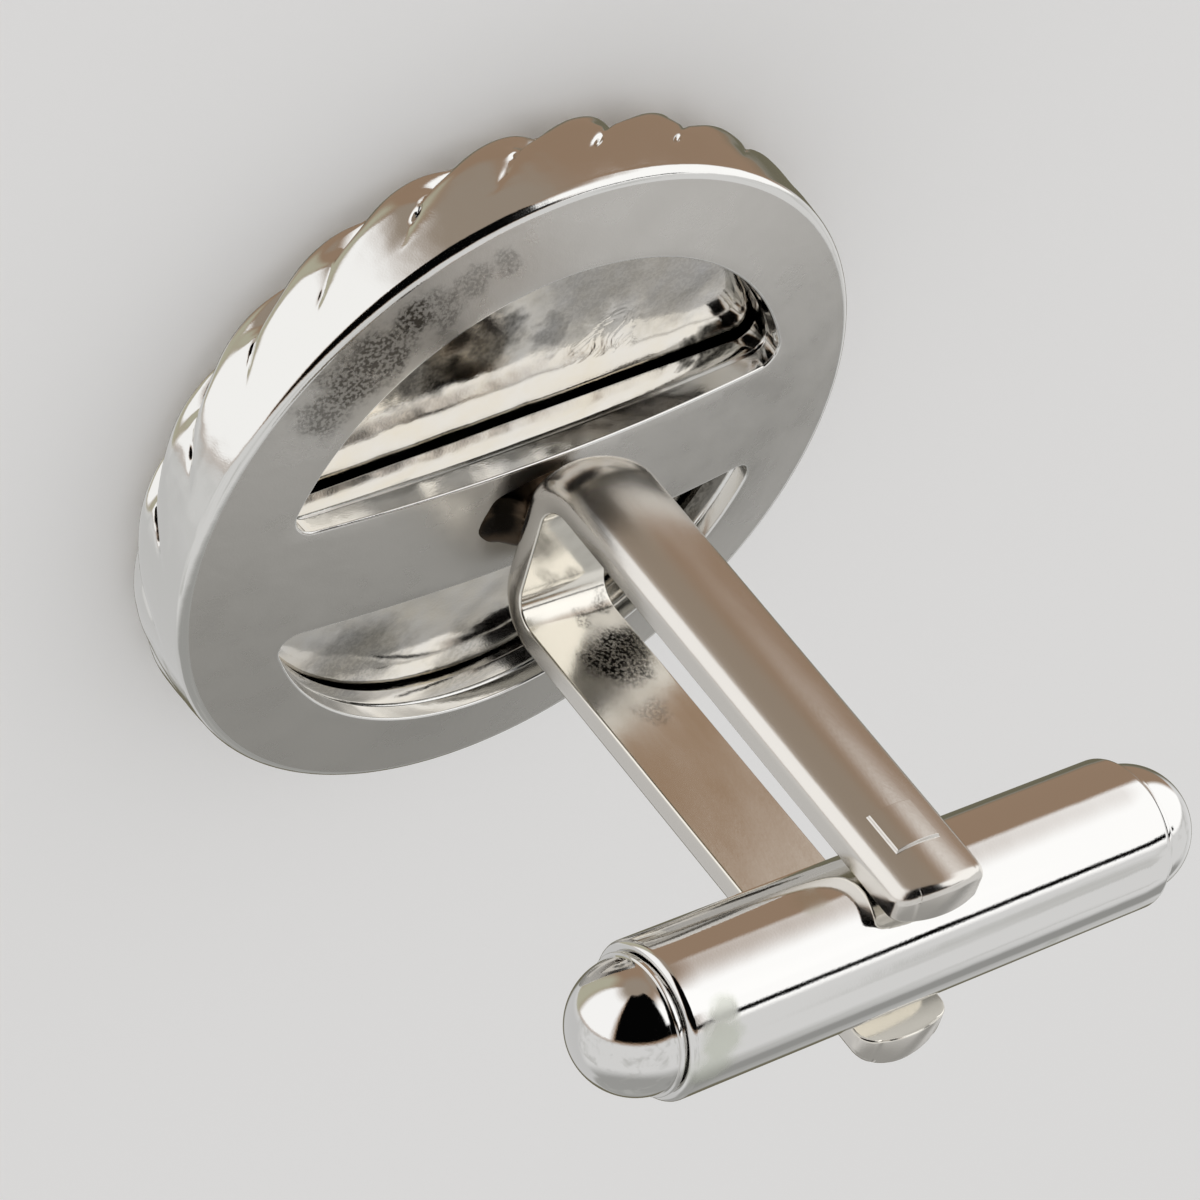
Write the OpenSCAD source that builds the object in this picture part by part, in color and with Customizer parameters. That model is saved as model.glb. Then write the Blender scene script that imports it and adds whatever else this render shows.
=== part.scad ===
// Swivel-back cufflink: a cast rope-rimmed head holding a polished front plate,
// and a bent strap post whose legs carry a sprung swivel toggle.
// The head's front land lies on z = 0, the post rises along +Z, and the toggle
// lies along X across the post, turning about Y. Millimetres.

/* [Head] */
// Radius of the back face at its outer edge
back_r = 10; // [9:0.1:12]
// Depth of the head at its back edge
head_t = 3.1; // [2.8:0.05:3.6]
// How far the middle of the domed back stands above its edge
dome_rise = 0.8; // [0.4:0.05:1.2]
// Radius of the softened back edge
edge_round = 0.22; // [0.1:0.02:0.35]
// Thickness of the back web at the edge of the head
web_edge_t = 0.8; // [0.6:0.05:1]
// Gap between the web and the back of the front plate
web_gap = 0.15; // [0.1:0.05:0.5]
// Depth of the front plate's face below the front land
plate_sink = 0.4; // [0.2:0.05:0.7]
// Width of the flat land around the front plate
land_w = 0.75; // [0.6:0.05:0.9]
// Width of the ledge that the front plate seats on
seat_w = 0.4; // [0.25:0.05:0.6]

/* [Windows] */
// Radius of the two windows' curved side
window_r = 7.8; // [7.4:0.05:8]
// Width of the crossbar left between the windows
bar_w = 3.75; // [3:0.05:4.6]
// Radius of the windows' corners
corner_r = 0.55; // [0.3:0.05:0.9]
// Turn of the crossbar away from the toggle, as the post is soldered on
bar_turn = 5; // [-12:1:12]

/* [Rope rim] */
// Number of strands that show round the rim
rope_count = 24; // [16:1:32]
// How far the rope stands out past the back face's edge
rope_out = 0.38; // [0.25:0.02:0.6]
// Height of the rope's widest line above the front land
rope_mid = 1.2; // [1:0.05:1.4]
// Depth of the grooves between the strands
rope_groove = 0.46; // [0.2:0.02:0.5]
// Width of the plain band between the rope and the back edge
plain_band = 0.65; // [0.5:0.05:0.8]
// Slant of the strands from the axis
rope_slant = 52; // [25:1:58]
// Turn of the strands round the rim, as a share of one strand
rope_phase = 0.4; // [0:0.05:1]

/* [Front plate] */
// Radius of the front plate
plate_r = 8.5; // [8.4:0.02:8.6]
// Clearance round the front plate in its recess
plate_clear = 0.03; // [0.02:0.01:0.06]
// Bevel on the front plate's face edge
plate_bevel = 0.3; // [0.1:0.05:0.45]

/* [Post] */
// Height of the toggle's pivot above the edge of the back face
pivot_rise = 16; // [15:0.1:18]
// Gap between the two legs
leg_gap = 4.04; // [4.02:0.01:4.3]
// Width of the strap
strap_w = 2.7; // [2.3:0.05:3.1]
// Thickness of the strap at its sides
strap_side_t = 0.7; // [0.5:0.05:0.8]
// Extra thickness at the strap's domed middle
strap_crown = 0.42; // [0.3:0.02:0.6]
// Inside radius of the strap's two bends
bend_r = 0.8; // [0.5:0.05:1.2]
// Length of the front leg past the pivot
front_tip = 1.5; // [1.2:0.05:1.9]
// Length of the back leg past the pivot
back_tip = 1.9; // [1.2:0.05:2.1]
// Radius of the arc that ends each leg
tip_r = 3; // [2.2:0.1:4]
// Radius of the corners beside that arc
tip_corner = 0.5; // [0.3:0.05:0.6]
// Length of the side of the square lug stamped in each leg
lug_side = 1.3; // [1.1:0.02:1.34]
// Reach of each lug into the toggle
lug_len = 0.95; // [0.8:0.05:1.05]
// Rise of the low pad stamped on each leg's outer face
pad_rise = 0.08; // [0.04:0.01:0.15]
// Width of the pad across the leg
pad_w = 1.3; // [1:0.05:1.6]
// Length of the pad along the leg
pad_len = 1.25; // [0.9:0.05:1.4]
// Distance from the pad's end to the pivot
pad_reach = 0.1; // [-0.2:0.05:0.3]
// Offset of the pad from the leg's middle
pad_off = -0.1; // [-0.3:0.02:0.3]

/* [Solder] */
// Thickness of the solder under the crown of the strap
solder_film = 0.3; // [0.15:0.05:0.4]
// Length of the solder along the crossbar to each side of the strap
solder_flow = 0.8; // [0.5:0.05:1.2]
// Width of the solder across the crossbar
solder_w = 2.1; // [1.6:0.05:2.6]
// Set of the solder towards the front leg
solder_shift = 0.3; // [-0.4:0.05:0.4]
// Height of the solder's thin puddle above the dome
solder_lip = 0.1; // [0.05:0.01:0.15]

/* [Toggle] */
// Outside radius of the toggle tube
tube_r = 1.96; // [1.9:0.01:1.97]
// Wall thickness of the tube
tube_wall = 0.42; // [0.36:0.02:0.46]
// Half length of the tube
tube_half = 7.4; // [7:0.05:8.4]
// Chamfer on the tube's ends
tube_chamfer = 0.18; // [0.08:0.02:0.24]
// Radius of the domed end caps
cap_r = 1.66; // [1.6:0.02:1.7]
// Width of the fine groove between tube and cap
groove_w = 0.07; // [0.05:0.01:0.12]
// Depth of that groove below the cap's radius
groove_depth = 0.07; // [0.05:0.01:0.1]
// Width of the collar at the foot of each dome
collar_w = 0.12; // [0.08:0.01:0.2]
// Height of that collar above the dome
collar_h = 0.09; // [0.05:0.01:0.12]
// Length of the cap's plug inside the tube
plug_len = 1.3; // [1:0.1:1.5]

/* [Click parts] */
// Clearance between each lug's corners and its hole
pivot_clear = 0.05; // [0.03:0.01:0.08]
// Clearance of the plungers in the tube's bore
plunger_clear = 0.05; // [0.03:0.01:0.08]
// Gap between a lug's corners and a plunger that is pushed back
nose_clear = 0.03; // [0.02:0.01:0.05]
// Length of a plunger's head
plunger_head = 1.2; // [1:0.1:1.5]
// Length of a plunger's stem inside its spring
stem_len = 1.1; // [0.8:0.1:1.4]
// Radius of a plunger's stem
stem_r = 0.7; // [0.5:0.05:0.75]
// Wire diameter of the click springs
wire_d = 0.3; // [0.24:0.02:0.34]
// Mean radius of the click springs
coil_r = 1.08; // [1.02:0.02:1.14]
// Curls in each click spring
curls = 4; // [3:1:4]

/* [Hidden] */

// Curves that would only touch are set past each other by this share, so that they cross cleanly
cross_share = 0.02;
// Smoothness of curves, and of the shallow dome
round_fn = 96;
dome_fn = 1440;
// One overrun serves all cuts
over = 0.5;

// Heights of the head's levels
dome_r = (back_r * back_r + dome_rise * dome_rise) / (2 * dome_rise);
back_top = head_t + dome_rise;
web_z = head_t - web_edge_t;
seat_z = web_z - web_gap;
recess_r = plate_r + plate_clear;
land_r = recess_r + land_w;
chamber_r = recess_r - seat_w;
band_z = head_t - plain_band;

// Rope rim: columns for each strand, rows up its front and back halves
strand_cols = 8;
front_rows = 5;
back_rows = 6;
wide_r = back_r + rope_out;
// The rope's front quarter starts just inside the land's edge, a little above the land
front_share = 1 / 8;
front_r = land_r - land_w * front_share;
front_z = rope_groove * front_share;
// The ring is rooted deep in the head's wall, and a little way into its plain band
root_share = 0.85;
root_r = land_r - land_w * root_share;
root_in = rope_out / 5;
strand_pitch = 2 * PI * wide_r / rope_count;
// The groove's depth at the front land, as a share of its full depth
front_groove_share = 0.7;
// What a groove loses of its depth on the rim's widest line
wide_loss_share = 0.5;
// Share of the way to the plain band over which a groove fades out
groove_end_share = 0.8;

// Post
pivot_z = head_t + pivot_rise;
strap_t = strap_side_t + strap_crown;
crown_r = (strap_w * strap_w / 4 + strap_crown * strap_crown) / (2 * strap_crown);
base_z = back_top + solder_film;
leg_y = leg_gap / 2;
lug_half_diag = lug_side / sqrt(2);

// Toggle
bore_r = tube_r - tube_wall;
pivot_hole_r = lug_half_diag + pivot_clear;
groove_r = cap_r - groove_depth;
cap_x = tube_half + groove_w + collar_w;
collar_r = cap_r + collar_h;
plunger_r = bore_r - plunger_clear;
nose_x = lug_half_diag + nose_clear;
stem_x = nose_x + plunger_head;
plug_x = tube_half - plug_len;
plug_chamfer = tube_chamfer;

// Click springs: their wire lies just clear of the plunger and the plug
wire_sides = 6;
curl_rings = 8;
spring_clear = wire_d / 15;
spring_x0 = stem_x + wire_d / 2 + spring_clear;
spring_x1 = plug_x - wire_d / 2 - spring_clear;
spring_pitch = (spring_x1 - spring_x0) / curls;

function on_circle(r, a) = [r * cos(a), r * sin(a)];

// Points of an arc of radius r about c, from angle a0 to a1
function arc_points(c, r, a0, a1, n) = [for (i = [0:n]) c + on_circle(r, a0 + (a1 - a0) * i / n)];

// A closed ring of cross-sections, each a list of points in the same order
module ring_mesh(sections) {
    n = len(sections);
    m = len(sections[0]);
    points = [for (s = sections) each s];
    faces = [for (i = [0:n - 1], j = [0:m - 1], f = [0, 1])
        let (a = i * m + j, b = i * m + (j + 1) % m, c = ((i + 1) % n) * m)
        f == 0 ? [a, b, c + (j + 1) % m] : [a, c + (j + 1) % m, c + j]];
    polyhedron(points = points, faces = faces, convexity = 10);
}

// Crown of a strand at 1 and the groove between two strands at 0
function strand(t) = let (f = t - floor(t)) 1 - pow(2 * f - 1, 2);

// Rows of the smooth rim: [radius, height, groove share, arc length from the widest line]
front_len = PI / 2 * (wide_r - front_r + rope_mid - front_z) / 2;
back_len = band_z - rope_mid;
function front_row(k) = let (a = 90 * k / front_rows)
    [front_r + (wide_r - front_r) * sin(a), rope_mid - (rope_mid - front_z) * cos(a),
        (front_groove_share + (1 - front_groove_share) * sin(a)) * (1 - wide_loss_share * pow(sin(a), 6)),
        front_len * (k / front_rows - 1)];
function back_share(s) = (1 - wide_loss_share) * max(1 - s / groove_end_share, 0);
function back_row(k) = let (s = k / back_rows)
    [back_r + root_in + (rope_out - root_in) * pow(cos(90 * s), 2), rope_mid + back_len * s,
        back_share(s), back_len * s];
rope_rows = concat([for (k = [0:front_rows]) front_row(k)], [for (k = [1:back_rows]) back_row(k)]);

// A rim point at angle a, its groove cut straight in towards the head's axis
function rope_point(row, a) =
    let (t = rope_phase + rope_count * a / 360 - row[3] * tan(rope_slant) / strand_pitch,
        r = row[0] - rope_groove * row[2] * (1 - strand(t)))
    [r * cos(a), r * sin(a), row[1]];

module rope_ring() {
    cols = rope_count * strand_cols;
    ring_mesh([for (i = [0:cols - 1]) let (a = 360 * i / cols) concat(
        [[root_r * cos(a), root_r * sin(a), front_z]],
        [for (row = rope_rows) rope_point(row, a)],
        [[(back_r - root_in) * cos(a), (back_r - root_in) * sin(a), band_z + 2 * root_in],
            [root_r * cos(a), root_r * sin(a), band_z + 2 * root_in]])]);
}

// Profile of the space under the domed back, out to a given radius
module dome_profile(reach) {
    intersection() {
        translate([0, -head_t]) square([reach, back_top + head_t]);
        translate([0, back_top - dome_r]) circle(r = dome_r, $fn = dome_fn);
    }
}

// The head's turned shell; its edge round runs up to the dome, just inside it
module head_cup() {
    inset = dome_r - edge_round * (1 + 2 * cross_share);
    edge_r = back_r - edge_round;
    edge_z = back_top - dome_r + sqrt(inset * inset - edge_r * edge_r);
    edge_a = atan2(edge_z - back_top + dome_r, edge_r);
    rotate_extrude($fn = round_fn) intersection() {
        polygon(concat(
            [[0, web_z], [chamber_r, web_z], [chamber_r, seat_z], [recess_r, seat_z],
                [recess_r, 0], [land_r, 0], [land_r, band_z], [back_r, band_z]],
            arc_points([edge_r, edge_z], edge_round, 0, edge_a, 6),
            [[edge_r, edge_z] + on_circle(edge_round + over, edge_a), [0, back_top + over]]));
        dome_profile(back_r + over);
    }
}

// One window in plan: a half disc above the crossbar with its two corners rounded.
// Each corner's circle stands a little past the window's sides, so that it crosses both cleanly.
module window_plan() {
    h = bar_w / 2;
    inner = corner_r * (1 - cross_share);
    cy = h + inner;
    cx = sqrt(pow(window_r - inner, 2) - cy * cy);
    reach = (window_r + over) / (window_r - inner);
    difference() {
        intersection() {
            circle(r = window_r, $fn = round_fn * 2);
            translate([-window_r, h]) square([2 * window_r, window_r]);
        }
        for (s = [-1, 1]) difference() {
            polygon([[s * cx, cy], [s * cx, h - over], [s * cx * reach, h - over],
                [s * cx * reach, cy * reach]]);
            translate([s * cx, cy]) circle(r = corner_r, $fn = round_fn / 2);
        }
    }
}

module head() {
    color("silver") difference() {
        union() {
            head_cup();
            rope_ring();
        }
        for (turn = [0, 180]) rotate([0, 0, bar_turn + turn])
            translate([0, 0, seat_z]) linear_extrude(back_top) window_plan();
    }
}

module front_plate() {
    color("gainsboro") rotate_extrude($fn = round_fn * 2) polygon([
        [0, plate_sink], [plate_r - plate_bevel, plate_sink], [plate_r, plate_sink + plate_bevel],
        [plate_r, seat_z], [0, seat_z]]);
}

// Section of the strap: flat on its inner side y = 0, domed to y = strap_t
module strap_section() {
    intersection() {
        translate([-strap_w / 2, 0]) square([strap_w, strap_t]);
        translate([0, strap_t - crown_r]) circle(r = crown_r, $fn = round_fn);
    }
}

// Outline of a leg that ends at height top in a flat arc with two rounded corners.
// Each corner's circle stands a little past the sides and the arc, so that it crosses both cleanly.
module leg_outline(top) {
    inner = tip_corner * (1 - cross_share);
    arc_z = top - tip_r;
    cx = strap_w / 2 - inner;
    rise = sqrt(pow(tip_r - inner, 2) - cx * cx);
    reach = (tip_r + over) / (tip_r - inner);
    difference() {
        union() {
            translate([-strap_w, 0]) square([2 * strap_w, arc_z]);
            translate([0, arc_z]) circle(r = tip_r, $fn = round_fn * 2);
        }
        for (s = [-1, 1]) difference() {
            polygon([[s * cx, arc_z + rise], [s * strap_w, arc_z + rise], [s * strap_w, top + over],
                [s * cx * reach, arc_z + rise * reach]]);
            translate([s * cx, arc_z + rise]) circle(r = tip_corner, $fn = round_fn / 2);
        }
    }
}

// Upright length of one leg, from its bend to its tip
module leg(tip) {
    foot = base_z + strap_t + bend_r;
    top = pivot_z + tip;
    intersection() {
        translate([0, leg_y, foot]) linear_extrude(top + over - foot) strap_section();
        translate([0, leg_y + strap_t + over, 0]) rotate([90, 0, 0])
            linear_extrude(strap_t + 2 * over) leg_outline(top);
    }
}

// Quarter bend from the base up into a leg
module bend() {
    translate([0, leg_y - bend_r, base_z + strap_t + bend_r]) rotate([0, 90, 0])
        rotate_extrude(angle = 90, $fn = round_fn) translate([bend_r, 0]) rotate(-90)
            strap_section();
}

module strap_base() {
    run = leg_gap - 2 * bend_r;
    translate([0, run / 2, base_z + strap_t]) rotate([90, 0, 0]) linear_extrude(run)
        mirror([0, 1]) strap_section();
}

// The square lug on a leg's inner side
module lug() {
    translate([-lug_side / 2, leg_y - lug_len, pivot_z - lug_side / 2])
        cube([lug_side, lug_len + strap_side_t / 2, lug_side]);
}

// The low pad that the stamp raises on a leg's outer face; off is its offset along X
module pad(off) {
    low_z = pivot_z + pad_reach - pad_len;
    intersection() {
        translate([off - pad_w / 2, leg_y + strap_side_t / 2, low_z]) cube([pad_w, strap_t, pad_len]);
        translate([0, leg_y + strap_t - crown_r, low_z - over])
            cylinder(r = crown_r + pad_rise, h = pad_len + 2 * over, $fn = round_fn);
    }
}

module post() {
    color("lightgray") union() {
        strap_base();
        for (s = [-1, 1]) rotate([0, 0, s > 0 ? 0 : 180]) {
            bend();
            leg(s > 0 ? front_tip : back_tip);
            pad(s * pad_off);
            lug();
        }
    }
}

// Solder that fills the wedge under the strap's dome and runs out along the crossbar
module solder() {
    end_x = strap_w / 2 + solder_flow;
    low_z = head_t + dome_rise / 2;
    side_z = base_z + strap_crown;
    color("lightgoldenrodyellow") difference() {
        rotate([0, 0, bar_turn]) translate([0, solder_shift + solder_w / 2, 0]) rotate([90, 0, 0])
            linear_extrude(solder_w) polygon([
                [-end_x, low_z], [end_x, low_z], [end_x, back_top + solder_lip / 2 - dome_drop(end_x)],
                [strap_w / 2 + solder_flow / 3, back_top + solder_lip], [strap_w / 2, side_z],
                [-strap_w / 2, side_z], [-strap_w / 2 - solder_flow / 3, back_top + solder_lip],
                [-end_x, back_top + solder_lip / 2 - dome_drop(end_x)]]);
        rotate_extrude($fn = round_fn) dome_profile(leg_gap);
        translate([0, leg_gap, base_z + crown_r]) rotate([90, 0, 0])
            cylinder(r = crown_r, h = 2 * leg_gap, $fn = 2 * round_fn);
    }
}

// Drop of the domed back at radius r below its middle
function dome_drop(r) = dome_r - sqrt(dome_r * dome_r - r * r);

// Turns a profile drawn as [radius, along] about the toggle's axis, towards +X for side = 1
module turned(side) {
    translate([0, 0, pivot_z]) rotate([0, 90 * side, 0]) rotate_extrude($fn = round_fn) children();
}

module toggle_tube() {
    edge = tube_half - tube_chamfer;
    color("silver") difference() {
        turned(1) polygon([[bore_r, -tube_half], [tube_r - tube_chamfer, -tube_half], [tube_r, -edge],
            [tube_r, edge], [tube_r - tube_chamfer, tube_half], [bore_r, tube_half]]);
        translate([0, tube_r + over, pivot_z]) rotate([90, 0, 0])
            cylinder(r = pivot_hole_r, h = 2 * (tube_r + over), $fn = round_fn);
    }
}

// Domed cap with the plug that is pressed into the tube's end
module cap(side) {
    color("silver") turned(side) {
        polygon([[0, plug_x], [bore_r - plug_chamfer, plug_x], [bore_r, plug_x + plug_chamfer],
            [bore_r, tube_half], [groove_r, tube_half], [groove_r, tube_half + groove_w],
            [collar_r, tube_half + groove_w], [collar_r, cap_x - collar_h / 2],
            [cap_r + collar_h / 2, cap_x], [0, cap_x + cap_r / 2]]);
        intersection() {
            translate([0, cap_x]) circle(r = cap_r, $fn = round_fn);
            translate([0, cap_x]) square(cap_r);
        }
    }
}

module plunger(side) {
    bevel = plunger_clear * 2;
    color("gray") turned(side) polygon([[0, nose_x], [plunger_r - bevel, nose_x],
        [plunger_r, nose_x + bevel], [plunger_r, stem_x], [stem_r, stem_x],
        [stem_r, stem_x + stem_len], [0, stem_x + stem_len]]);
}

// One ring of the spring's wire, at a share of its length
function wire_ring(share) = [for (i = [0:wire_sides - 1])
    let (a = 360 * curls * share, w = on_circle(wire_d / 2, 360 * i / wire_sides),
        r = coil_r + w[0], lead = atan(spring_pitch / (2 * PI * coil_r)))
    [r * cos(a) + w[1] * sin(lead) * sin(a), r * sin(a) - w[1] * sin(lead) * cos(a),
        spring_x0 + (spring_x1 - spring_x0) * share + w[1] * cos(lead)]];

module spring(side) {
    rings = curls * curl_rings;
    points = [for (i = [0:rings]) each wire_ring(i / rings)];
    walls = [for (i = [0:rings - 1], j = [0:wire_sides - 1], f = [0, 1])
        let (a = i * wire_sides + j, b = i * wire_sides + (j + 1) % wire_sides)
        f == 0 ? [a, b + wire_sides, b] : [a, a + wire_sides, b + wire_sides]];
    caps = [for (i = [1:wire_sides - 2], f = [0, 1])
        f == 0 ? [0, i, i + 1] : [for (j = [0, i + 1, i]) rings * wire_sides + j]];
    color("darkgray") translate([0, 0, pivot_z]) rotate([0, 90 * side, 0])
        polyhedron(points = points, faces = concat(walls, caps), convexity = 10);
}
echo(spring_gap = spring_pitch * cos(atan(spring_pitch / (2 * PI * coil_r))) - wire_d);

head();
front_plate();
post();
solder();
toggle_tube();
cap(-1);  // left_cap
cap(1);  // right_cap
plunger(-1);  // left_plunger
plunger(1);  // right_plunger
spring(-1);  // left_spring
spring(1);  // right_spring
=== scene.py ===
"""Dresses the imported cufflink: cast rope-rimmed head, polished plate, strap post and click toggle."""

import math
from functools import partial, partialmethod
from types import SimpleNamespace

import bpy
import bmesh
from bpy.props import FloatProperty, IntProperty, PointerProperty, StringProperty
from mathutils import Matrix, Vector, noise
from mathutils.geometry import delaunay_2d_cdt


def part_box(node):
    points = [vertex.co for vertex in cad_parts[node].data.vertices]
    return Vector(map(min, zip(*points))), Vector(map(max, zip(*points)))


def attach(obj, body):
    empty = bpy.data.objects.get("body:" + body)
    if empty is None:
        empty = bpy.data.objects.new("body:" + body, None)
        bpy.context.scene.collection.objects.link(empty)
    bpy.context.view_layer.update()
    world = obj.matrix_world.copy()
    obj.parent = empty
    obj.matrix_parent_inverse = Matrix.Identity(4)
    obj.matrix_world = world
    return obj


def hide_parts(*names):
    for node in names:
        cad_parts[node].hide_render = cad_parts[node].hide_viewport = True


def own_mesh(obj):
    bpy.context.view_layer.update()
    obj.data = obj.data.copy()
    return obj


bl_info = {
    "name": "Cufflink with rope rim",
    "version": (1, 0, 0),
    "blender": (4, 5, 0),
    "location": "3D view > Sidebar > Cufflink",
    "description": "Builds a swivel-back cufflink around its packed frame",
    "category": "Object",
}

MM = 0.001
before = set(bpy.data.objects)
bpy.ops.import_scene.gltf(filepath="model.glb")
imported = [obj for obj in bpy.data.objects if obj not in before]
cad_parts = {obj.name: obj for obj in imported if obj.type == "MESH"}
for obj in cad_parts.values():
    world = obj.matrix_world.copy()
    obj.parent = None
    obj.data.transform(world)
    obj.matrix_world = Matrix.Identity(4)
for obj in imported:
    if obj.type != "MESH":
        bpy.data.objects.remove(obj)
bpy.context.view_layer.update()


def length(name, description, millimetres):
    """A size in the sidebar, given in millimetres and kept in metres."""
    return FloatProperty(name=name, description=description, default=millimetres * MM, unit="LENGTH",
                         precision=5)


def shade(name, description, colour):
    """A colour in the sidebar, kept as an sRGB hex value."""
    return StringProperty(name=name, description=description, default=colour)


class HeadSizes(bpy.types.PropertyGroup):
    back_r: length("Back radius", "Radius of the back face at its outer edge", 10)
    head_t: length("Edge depth", "Depth of the head at its back edge", 3.1)
    dome_rise: length("Dome rise", "How far the domed back stands above its edge", 0.8)
    edge_round: length("Edge round", "Radius of the softened back edge", 0.3)
    web_edge_t: length("Web depth", "Thickness of the back web at the head's edge", 0.8)
    web_gap: length("Web gap", "Gap between the web and the plate", 0.15)
    seat_w: length("Seat width", "Width of the ledge under the plate", 0.4)
    recess_r: length("Recess radius", "Radius of the recess for the plate", 8.53)
    land_w: length("Land width", "Width of the flat front land", 0.75)
    window_r: length("Window radius", "Radius of the windows' curved side", 7.8)
    bar_w: length("Bar width", "Width of the crossbar between the windows", 3.75)
    corner_r: length("Corner radius", "Radius of the windows' corners", 0.55)
    bar_turn: FloatProperty(name="Bar turn", description="Turn of the crossbar away from the toggle",
                            default=math.radians(5), subtype="ANGLE")
    lip: length("Window lip", "Radius of the worn round on the windows' edges", 0.07)
    step: length("Window step", "Step half-way down the windows' walls", 0.05)


class RopeSizes(bpy.types.PropertyGroup):
    strands: IntProperty(name="Strands", description="Strands that show round the rim", default=24)
    out: length("Stand-out", "How far the rope stands out past the back edge", 0.38)
    mid: length("Widest line", "Height of the rope's widest line", 1.2)
    groove: length("Groove depth", "Depth of the grooves between strands", 0.52)
    lean: length("Wall lean", "How far the wall leans in towards the back edge", 0.08)
    slant: FloatProperty(name="Slant", description="Slant of the strands from the axis",
                         default=math.radians(52), subtype="ANGLE")
    phase: FloatProperty(name="Phase", description="Turn of the rope as a share of a strand",
                         default=0.4, subtype="FACTOR")


class StrapSizes(bpy.types.PropertyGroup):
    width: length("Width", "Width of the strap", 2.7)
    side_t: length("Side thickness", "Thickness at the strap's sides", 0.7)
    crown: length("Crown", "Extra thickness at its domed middle", 0.42)
    bend_r: length("Bend radius", "Inside radius of the two bends", 0.8)
    gap: length("Leg gap", "Gap between the two legs", 4.04)
    front_tip: length("Front tip", "Length of the front leg past the pivot", 1.5)
    back_tip: length("Back tip", "Length of the back leg past the pivot", 1.9)
    tip_r: length("Tip radius", "Radius of the flat arc that ends each leg", 3)
    tip_corner: length("Tip corner", "Radius of the corners beside that arc", 0.5)
    edge: length("Outer edge round", "Radius of the tumbled outer edges", 0.26)
    inner_edge: length("Inner edge round", "Radius of the inner edges", 0.06)
    lean: length("Lean", "Lean of the front leg's tip across the post", 0.2)
    film: length("Solder film", "Thickness of the solder under the strap", 0.3)
    pad_rise: length("Pad rise", "Rise of the stamped pad", 0.08)
    pad_w: length("Pad width", "Width of the pad across the leg", 1.3)
    pad_len: length("Pad length", "Length of the pad along the leg", 1.25)
    pad_reach: length("Pad reach", "Distance from the pad's end to the pivot", 0.1)
    pad_off: length("Pad offset", "Offset of the pad from the leg's middle", -0.1)
    pad_wall: length("Pad wall", "Run of the pad's sloping walls", 0.05)
    lug_side: length("Lug side", "Side of the square lug in each leg", 1.3)
    lug_len: length("Lug reach", "Reach of each lug into the toggle", 0.95)


class ToggleSizes(bpy.types.PropertyGroup):
    pivot_rise: length("Pivot rise", "Height of the pivot above the back edge", 16)
    tube_r: length("Tube radius", "Outside radius of the tube", 1.96)
    bore_r: length("Bore radius", "Radius of the tube's bore", 1.54)
    half: length("Half length", "Half length of the tube", 7.4)
    chamfer: length("End round", "Round on the tube's ends", 0.18)
    hole_r: length("Pivot hole", "Radius of the two pivot holes", 0.969)
    cap_r: length("Cap radius", "Radius of the domed caps", 1.66)
    groove_w: length("Groove width", "Width of the groove beside each cap", 0.07)
    groove_depth: length("Groove depth", "Depth of that groove", 0.07)
    collar_w: length("Collar width", "Width of the collar at each dome's foot", 0.12)
    collar_h: length("Collar height", "Height of that collar", 0.09)
    plug_len: length("Plug length", "Length of the plug inside the tube", 1.3)
    nose_x: length("Nose place", "Distance from the pivot to a plunger", 0.949)
    plunger_r: length("Plunger radius", "Radius of the plungers", 1.49)
    plunger_head: length("Plunger head", "Length of a plunger's head", 1.2)
    stem_r: length("Stem radius", "Radius of a plunger's stem", 0.7)
    stem_len: length("Stem length", "Length of a plunger's stem", 1.1)
    wire_d: length("Wire", "Wire diameter of the click springs", 0.3)
    coil_r: length("Coil radius", "Mean radius of the click springs", 1.08)
    curls: IntProperty(name="Curls", description="Curls in each click spring", default=4)


class Finishes(bpy.types.PropertyGroup):
    cast: shade("Polished casting", "Nickel plate on the polished rim", "#E6E5E2")
    satin: shade("Satin back", "Nickel plate on the back of the casting", "#CECBC6")
    plate: shade("Mirror plate", "Rolled and polished insert plate", "#ECECEE")
    plate_warm: shade("Warm patches", "Faint yellow patches in the plate's nickel", "#E6DCC8")
    strap: shade("Tumbled strap", "Nickel plate on the strap's outer face", "#E2DED8")
    strap_in: shade("Bright strap", "Nickel plate on the strap's inner face", "#EDE9E0")
    toggle: shade("Bright toggle", "Nickel plate on the turned toggle", "#E9E8E6")
    solder: shade("Solder", "Tin solder, brown with flux", "#54473A")
    steel: shade("Click steel", "Spring steel of the hidden click parts", "#8F9092")
    floor: shade("Floor", "Pale matt table", "#EDECEB")
    room: shade("Room", "Even light of the room", "#EAEAEA")


def in_mm(group):
    """A group's values with its lengths in millimetres."""
    values = {}
    for key in group.__annotations__:
        unit = group.bl_rna.properties[key]
        value = getattr(group, key)
        values[key] = value / MM if getattr(unit, "unit", "NONE") == "LENGTH" else value
    return SimpleNamespace(**values)


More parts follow.
